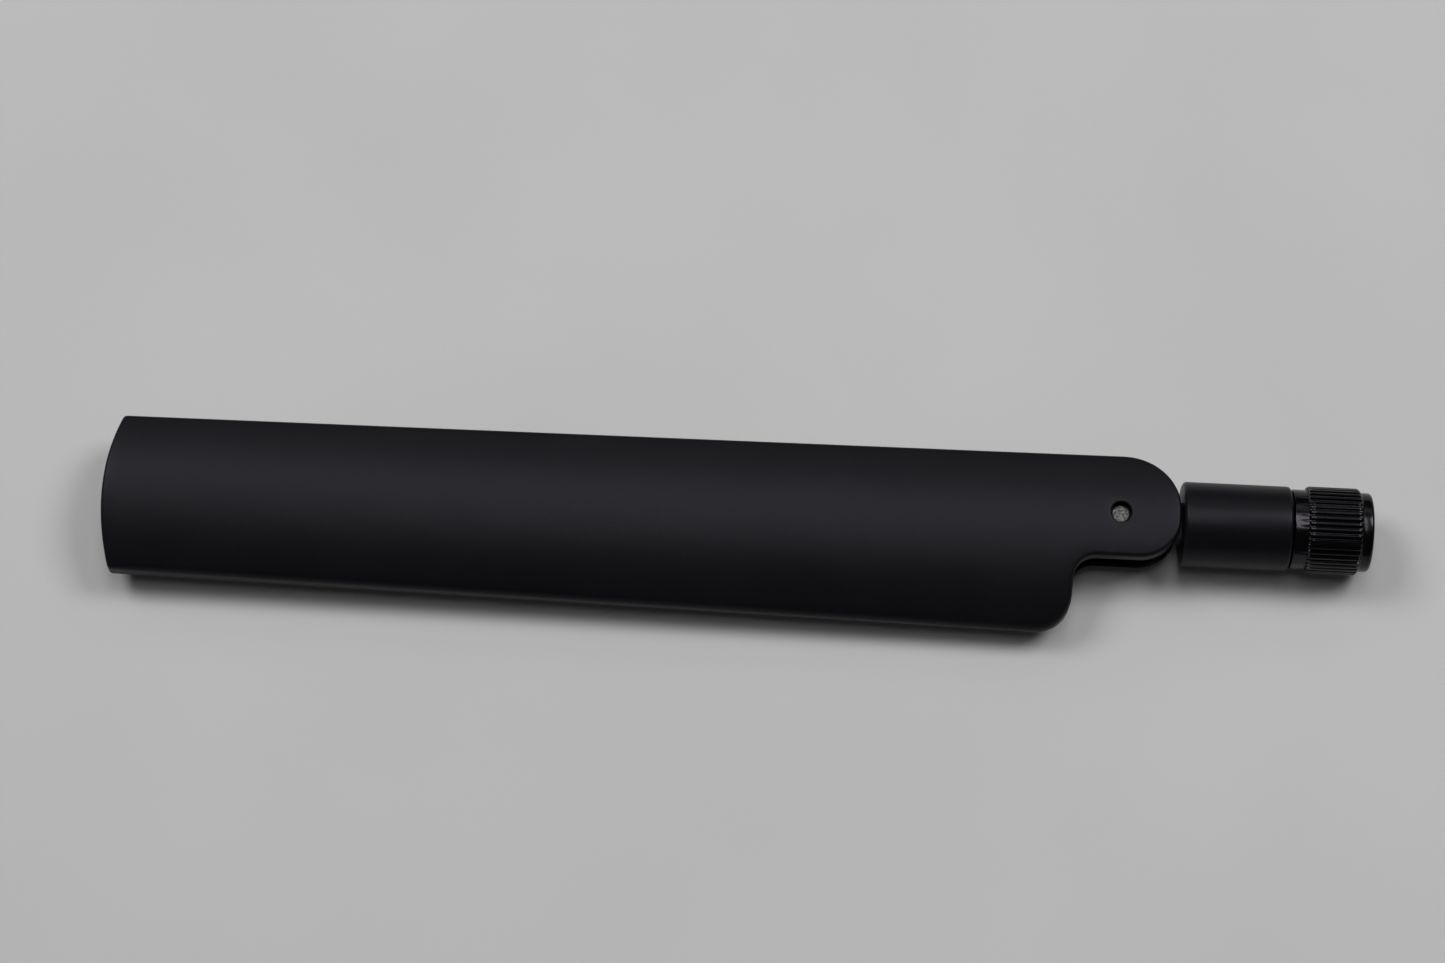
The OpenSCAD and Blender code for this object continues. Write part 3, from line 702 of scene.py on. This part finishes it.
def barrel_piece():
    """Round housing with softened ends and the flat tongue that turns on the pin."""
    r = BARREL_HIGH.z
    e = 0.5
    rounded = arc(r - e, BARREL_REAR_X + e, e, -90, 0, 8) + arc(r - e, BARREL_FRONT_X - e, e, 0, 90, 8)
    chamfer = 0.15
    bore_end_x, lead_room_r, lead_room_x = -15.2, 2.6, -19
    profile = [(0, BARREL_REAR_X)] + rounded
    profile += [(BORE_R + chamfer, BARREL_FRONT_X), (BORE_R, BARREL_FRONT_X - chamfer)]
    profile += ring_groove(BORE_R, SWIVEL_RING_X)
    profile += [(BORE_R, bore_end_x), (lead_room_r, bore_end_x), (lead_room_r, lead_room_x), (0, lead_room_x)]
    body = turned("barrel_body", profile)
    half = TONGUE_H / 2
    edge = 0.22
    rings = [[(x, y, z) for x, y in tongue(d)]
             for d, z in ((edge, -half), (edge * 0.3, -half + edge * 0.3), (0, -half + edge),
                          (0, half - edge), (edge * 0.3, half - edge * 0.3), (edge, half))]
    add(body, stacked("tongue", rings))
    side = EYE_R + 1
    x = PIVOT_X
    channel = [(-side, -side), (-side, LEAD_Y + LEAD_BORE_R), (0.2, LEAD_Y + LEAD_BORE_R),
               (1.2, -1.45), (2, -1.05), (3, -0.25), (4.2, 0.45),
               (5.2, LEAD_BORE_R), (BEND_X + 0.2, LEAD_BORE_R), (BEND_X + 0.2, -side)]
    cut(body,
        prism("channel", [(px + x, py) for px, py in reversed(channel)], -LEAD_SLOT_H / 2, LEAD_SLOT_H / 2),
        post("eye", x, 0, PIN_R + RUN_GAP, -5, 5, 48),
        turned("lead_bore", [(0, x + BEND_X), (LEAD_BORE_R, x + BEND_X),
                             (LEAD_BORE_R, lead_room_x + 1), (0, lead_room_x + 1)], 32))
    soften(body, 32)
    return place(body, "barrel_housing", "barrel", ["barrel"], BARREL)


def lead_piece():
    """Flexible lead beside the pin, which bends between the blade and the barrel."""
    steps, around = 60, 20
    start_x, end_x = LEAD_LOW.x, LEAD_HIGH.x
    angle = 2 * atan2(-LEAD_Y, BEND_X)
    bend_r = BEND_X / 2 / sin(angle)
    stations = []
    for i in range(steps + 1):
        x = start_x + (end_x - start_x) * i / steps - PIVOT_X
        if x <= 0:
            y, heading = LEAD_Y, 0
        elif x < BEND_X / 2:
            heading = asin(x / bend_r)
            y = LEAD_Y + bend_r * (1 - cos(heading))
        elif x < BEND_X:
            heading = asin((BEND_X - x) / bend_r)
            y = -bend_r * (1 - cos(heading))
        else:
            y, heading = 0, 0
        stations.append((x + PIVOT_X, y, heading))
    rings = []
    for x, y, heading in stations:
        rings.append([(x - LEAD_R * cos(a) * sin(heading), y + LEAD_R * cos(a) * cos(heading), LEAD_R * sin(a))
                      for a in np.linspace(0, TAU, around, endpoint=False)])
    lead = tidy_solid(stacked("lead", rings))
    lead.name = "hinge_lead"
    lead.data.materials.append(JACKET)
    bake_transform(lead)
    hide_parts("hinge_coax")
    return lead


# ---------------------------------------------------------------- plug and nut

KNURLS = 44
PITCH = 25.4 / 36
THREAD_MINOR = 2.83
THREAD_MAJOR = 3.13
RELIEF_R = 3.3


def nut_outside(x0, x1):
    """Outer profile of the nut from its rear end to its mouth, as (radius, x, groove's share)."""
    neck, knurl, collar = 5.05, NUT_HIGH.z, 5.0
    rib_x0, rib_x1 = x0 + 2.1, 0.65
    points = [(r, x, 0) for r, x in arc(neck - 0.2, x0 + 0.2, 0.2, -90, 0, 4)]
    points += [(neck, rib_x0 - 0.5, 0), (neck + 0.02, rib_x0 - 0.36, 0.15)]
    points += [(neck + 0.3, rib_x0 - 0.2, 0.75), (knurl - 0.06, rib_x0 - 0.05, 1),
               (knurl, rib_x0 + 0.1, 1)]
    points += [(knurl, x, 1) for x in np.linspace(rib_x0 + 0.5, rib_x1 - 0.3, 10)]
    points += [(r, x, share) for (r, x), share in
               zip(arc(knurl - 0.6, rib_x1 - 0.05, 0.6, 0, 64, 6), (1, 1, 0.95, 0.8, 0.55, 0.3, 0.1))]
    points += [(collar + 0.02, rib_x1 + 0.56, 0), (collar - 0.02, rib_x1 + 0.64, 0),
               (collar, rib_x1 + 0.76, 0)]
    points += [(r, x, 0) for r, x in arc(collar - 0.45, x1 - 0.45, 0.45, 0, 90, 7)]
    return points + [(THREAD_MAJOR + 0.1, x1, 0)]


def thread_r(x, turn):
    """Radius of the threaded wall at a place along the axis and an angle in turns."""
    phase = (x / PITCH - turn) % 1
    rise = 0.22
    crest, root = 0.36, 0.2
    if phase < crest:
        share = 0
    elif phase < crest + rise:
        share = (phase - crest) / rise
    elif phase < crest + rise + root:
        share = 1
    else:
        share = 1 - (phase - crest - rise - root) / (1 - crest - rise - root)
    faded = share * smooth(2.34, 2.05, x)
    return THREAD_MINOR + (THREAD_MAJOR - THREAD_MINOR) * faded


def coupling_nut_piece():
    """Knurled nut with rounded ribs, a smooth collar and a helical thread."""
    x0, x1 = NUT_LOW.x, NUT_HIGH.x
    steps = KNURLS * 8
    depth = 0.3
    verts, rows = [], 0
    turns = np.arange(steps) / steps
    groove = np.exp(-((((turns * KNURLS) % 1) - 0.5) / 0.21) ** 4)
    for r, x, share in nut_outside(x0, x1):
        radii = r - depth * share * groove
        verts += [(x, q * cos(TAU * t), q * sin(TAU * t)) for q, t in zip(radii, turns)]
        rows += 1
    inner_x = list(np.arange(2.3, 0, -PITCH / 9)) + [0.0]
    for x in inner_x:
        verts += [(x, q * cos(TAU * t), q * sin(TAU * t)) for q, t in ((thread_r(x, t), t) for t in turns)]
        rows += 1
    bore = 2.7
    for r, x in [(RELIEF_R, -0.02), (RELIEF_R, -3), (bore, -3), *ring_groove(bore, NUT_RING_X),
                 (bore, x0 + 0.1), (bore + 0.1, x0)]:
        verts += [(x, r * cos(TAU * t), r * sin(TAU * t)) for t in turns]
        rows += 1
    faces = []
    for k in range(rows):
        faces += bridge(k * steps, (k + 1) % rows * steps, steps)
    nut = tidy_solid(make_object("nut", verts, faces), 40)
    return place(nut, "knurled_nut", "nut", ["coupling_nut"], NICKEL)


def connector_pieces():
    """Plug body, insulator, socket contact and gasket as seen in the nut's mouth."""
    nose_r, swivel_r = 2.65, BORE_R - RUN_GAP
    nut_ring, swivel_ring = NUT_RING_X + RING_W, SWIVEL_RING_X + RING_W
    body = turned("plug_body", [
        (2.05, -0.1), (2.13, 0), (nose_r - 0.1, 0), (nose_r, -0.1),
        (nose_r, nut_ring), (2.25, nut_ring), (2.25, NUT_RING_X), (nose_r, NUT_RING_X),
        (nose_r, -7.5), (swivel_r - 0.1, -7.5), (swivel_r, -7.6),
        (swivel_r, -9), (2.28, -9), (2.28, -10.2), (swivel_r, -10.2),
        (swivel_r, swivel_ring), (2.7, swivel_ring), (2.7, SWIVEL_RING_X), (swivel_r, SWIVEL_RING_X),
        (swivel_r, -15), (1.25, -15), (1.25, -18), (0.6, -18), (0.6, -9.5),
        (1.2, -9.5), (1.2, -8), (2.05, -8)])
    place(body, "plug_body", "connector", ["connector_body"], NICKEL)
    insulator_r, insulator_x, face_x = 2.04, -8, -0.02
    contact_r, socket_r = 0.64, 0.47
    insulator = turned("insulator", [
        (contact_r, insulator_x), (insulator_r, insulator_x), (insulator_r, face_x - 0.06),
        (insulator_r - 0.07, face_x), (contact_r + 0.12, face_x), (contact_r + 0.02, face_x - 0.08)])
    place(insulator, "plug_insulator", "connector", ["contact_insulator"], PTFE)
    contact = turned("contact", [
        (0, insulator_x - 0.8), (contact_r, insulator_x - 0.8), (contact_r, -0.13),
        (contact_r - 0.06, -0.05), (socket_r + 0.06, -0.05),
        (socket_r, -0.12), (socket_r, -2.8), (0, -3.05)], 48)
    slit_w, slit_l = 0.1, 2.5
    for turn in (0, 90):
        slit = slab("slit", (-slit_l, -1, -slit_w / 2), (0.5, 1, slit_w / 2))
        slit.data.transform(Matrix.Rotation(radians(turn), 4, "X"))
        cut(contact, slit)
    soften(contact)
    place(contact, "plug_contact", "connector", ["centre_contact"], GOLD)
    gasket_r, gasket_x = 2.935, -0.6
    ring = [(gasket_r + 0.26 * cos(a), gasket_x + 0.48 * sin(a))
            for a in np.linspace(0, TAU, 20, endpoint=False)]
    place(turned("gasket", ring), "plug_gasket", "connector", ["mating_gasket"], SILICONE)


# ---------------------------------------------------------------- stage, camera and light

def camera():
    """Camera high over the near side, rolled a little."""
    elevation, roll = radians(72), radians(2.7)
    distance = 514
    target = Vector((-79.17, 2.93, -0.5))
    back = Vector((0, -cos(elevation), sin(elevation)))
    right, up = Vector((1, 0, 0)), Vector((0, sin(elevation), cos(elevation)))
    side = right * cos(roll) + up * sin(roll)
    top = up * cos(roll) - right * sin(roll)
    data = bpy.data.cameras.new("camera")
    data.sensor_width = 36
    data.lens = 101.2
    data.clip_start, data.clip_end = 0.01, 20
    obj = bpy.data.objects.new("camera", data)
    bpy.context.scene.collection.objects.link(obj)
    turn = Matrix((side, top, back)).transposed().to_4x4()
    obj.matrix_world = Matrix.Translation((target + back * distance) * MM) @ turn
    bpy.context.scene.camera = obj


def area_light(name, place_m, aim_m, size, power):
    """Rectangular lamp at place_m that faces aim_m, both in metres."""
    data = bpy.data.lights.new(name, "AREA")
    data.shape = "RECTANGLE"
    data.size, data.size_y = size
    data.energy = power
    obj = bpy.data.objects.new(name, data)
    bpy.context.scene.collection.objects.link(obj)
    obj.location = place_m
    obj.rotation_euler = (Vector(aim_m) - Vector(place_m)).to_track_quat("-Z", "Y").to_euler()


def floor():
    """Plain pale table top with faint clouding and fine rub marks."""
    half = 3000
    corners = [(-half, -half), (half, -half), (half, half), (-half, half)]
    top = make_object("floor", [(x, y, BACK_Z) for x, y in corners], [(0, 1, 2, 3)])
    mat = material("table_top", (0.6, 0.6, 0.6), 0.6)
    clouds = noise(mat, 60, detail=3.0)
    tone = ramp(mat, clouds, "Fac", [(0.3, (0.532, 0.528, 0.528)), (0.7, (0.563, 0.559, 0.559))])
    grain = noise(mat, 1.2, detail=4.0)
    finish_with(mat, tone, None, bump(mat, grain, "Fac", 0.02, 0.3))
    top.data.materials.append(mat)


def studio():
    """Soft light from above and behind the far side, with a weak grey surround."""
    middle = (-0.08, 0, 0)
    area_light("key", (-0.078, 0.15, 1.1), middle, (0.285, 0.75), 2.45)
    area_light("back", (-0.078, 0.5, 0.42), middle, (0.9, 0.2), 0.3)
    for side in (-1, 1):
        area_light("flank", (-0.08 + side * 0.6, 0.33, 0.94), middle, (0.45, 0.45), 4.9)
    world = bpy.data.worlds.new("surround")
    world.use_nodes = True
    world.node_tree.nodes["Background"].inputs["Color"].default_value = (1, 1, 1, 1)
    world.node_tree.nodes["Background"].inputs["Strength"].default_value = 0.05
    bpy.context.scene.world = world
    bpy.context.scene.view_settings.view_transform = "Standard"


camera()
front_cover()
rear_cover()
hinge_pin_piece()
foam_pad_piece("tip_foam_pad", "tip_foam")
foam_pad_piece("root_foam_pad", "root_foam")
barrel_piece()
lead_piece()
coupling_nut_piece()
connector_pieces()
for cad_node, mat in {
    "radiator_board": LAMINATE,
    "upper_dipole_arm": TRACE, "lower_dipole_arm": TRACE,
    "core_solder_joint": SOLDER, "braid_solder_joint": SOLDER,
    "blade_coax": JACKET, "blade_coax_core": COPPER,
    "upper_friction_washer": ACETAL, "lower_friction_washer": ACETAL,
    "swivel_o_ring": NITRILE, "swivel_snap_ring": SPRING, "crimp_ferrule": FERRULE,
    "tail_coax": JACKET, "tail_coax_core": PTFE, "nut_snap_ring": SPRING,
}.items():
    paint(cad_node, mat)
floor()
studio()
